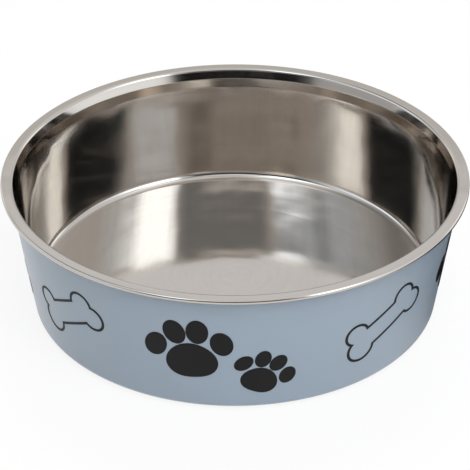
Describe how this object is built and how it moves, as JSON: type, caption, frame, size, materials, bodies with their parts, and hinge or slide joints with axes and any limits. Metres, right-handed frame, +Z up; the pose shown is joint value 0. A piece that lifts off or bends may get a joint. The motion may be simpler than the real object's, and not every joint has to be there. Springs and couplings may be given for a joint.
{
  "type": "pet bowl",
  "caption": "Round pet food bowl: drawn steel inner bowl with a rolled rim, in a tapered printed shell that stands on a removable rubber ring.",
  "frame": {"origin": "centre of the bowl on the table, in the plane of the rubber ring's underside", "axes": "+Z up along the bowl's axis, -Y towards the front, where a large and a small paw print face"},
  "size_m": [0.21, 0.21, 0.065],
  "materials": {
    "steel": "polished, with faint rings from spinning",
    "shell": "satin gloss moulding, pale grey blue",
    "adhesive": "set adhesive",
    "rubber": "matt moulded rubber",
    "ink": "satin printed ink"
  },
  "bodies": {
    "ring": {"anti_slip_ring": "rubber"},
    "bowl": {"steel_bowl": "steel", "outer_shell": "shell", "rim_adhesive": "adhesive", "large_paw_print_1": "ink", "large_paw_print_2": "ink", "large_paw_print_3": "ink", "large_paw_print_4": "ink", "small_paw_print_1": "ink", "small_paw_print_2": "ink", "small_paw_print_3": "ink", "small_paw_print_4": "ink", "bone_print_1": "ink", "bone_print_2": "ink", "bone_print_3": "ink", "bone_print_4": "ink"}
  },
  "joints": [
    {"name": "ring_pull_off", "type": "slide", "parent": "ring", "child": "bowl", "axis": [0, 0, 1], "range_m": [0, 0.03]}
  ]
}
